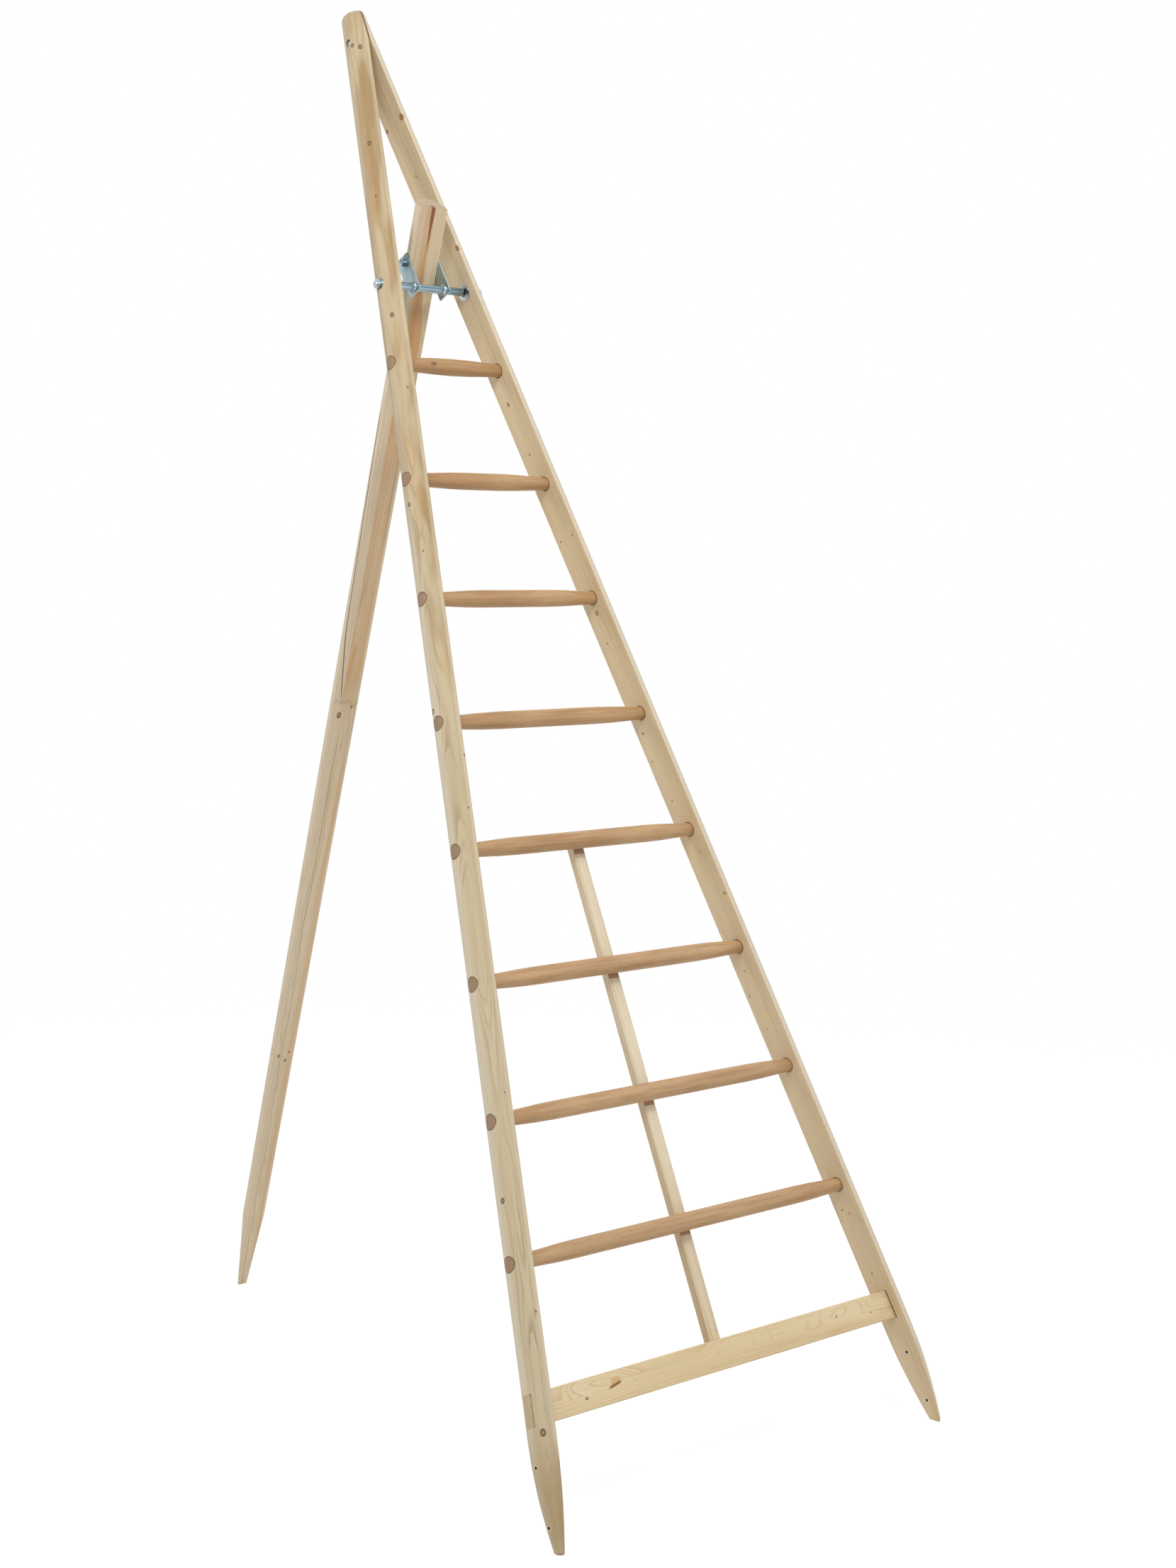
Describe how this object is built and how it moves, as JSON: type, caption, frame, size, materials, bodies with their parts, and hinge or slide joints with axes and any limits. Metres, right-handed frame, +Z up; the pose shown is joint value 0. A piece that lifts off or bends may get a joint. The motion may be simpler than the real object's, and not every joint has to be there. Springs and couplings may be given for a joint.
{
  "type": "tripod orchard ladder",
  "caption": "Wooden tripod ladder for picking fruit: half-round stiles that taper to a point, turned rungs, and a rear pole that folds on a steel hinge.",
  "frame": {"origin": "on the floor, at the middle of the footprint's box", "axes": "+X to the climber's right, +Y from the front feet towards the rear pole, +Z up"},
  "size_m": [1.1356, 1.8403, 3.1187],
  "materials": {
    "pine": "bare planed and turned pine, matt, with knots",
    "oak": "bare turned hardwood, matt, brown",
    "zinc": "bright zinc plated steel, bluish"
  },
  "bodies": {
    "ladder": {"left_stile": "pine", "right_stile": "pine", "rung_1": "oak", "rung_2": "oak", "rung_3": "oak", "rung_4": "oak", "rung_5": "oak", "rung_6": "oak", "rung_7": "oak", "rung_8": "oak", "bottom_rail": "pine", "centre_post": "pine", "post_screws": "zinc", "apex_bolt": "zinc", "apex_nut": "zinc", "apex_washers": "zinc", "hinge_rod": "zinc", "rod_nuts": "zinc", "rod_washers": "zinc", "tube_washers": "zinc"},
    "prop": {"hinge_tube": "zinc", "hinge_plate_left": "zinc", "hinge_plate_right": "zinc", "rear_pole": "pine", "pole_bolt": "zinc", "pole_nut": "zinc", "pole_washers": "zinc"}
  },
  "joints": [
    {"name": "prop_hinge", "type": "hinge", "parent": "ladder", "child": "prop", "pos_m": [0, 0.1898, 2.4684], "axis": [1, 0, 0], "range_deg": [-39, 45]}
  ]
}
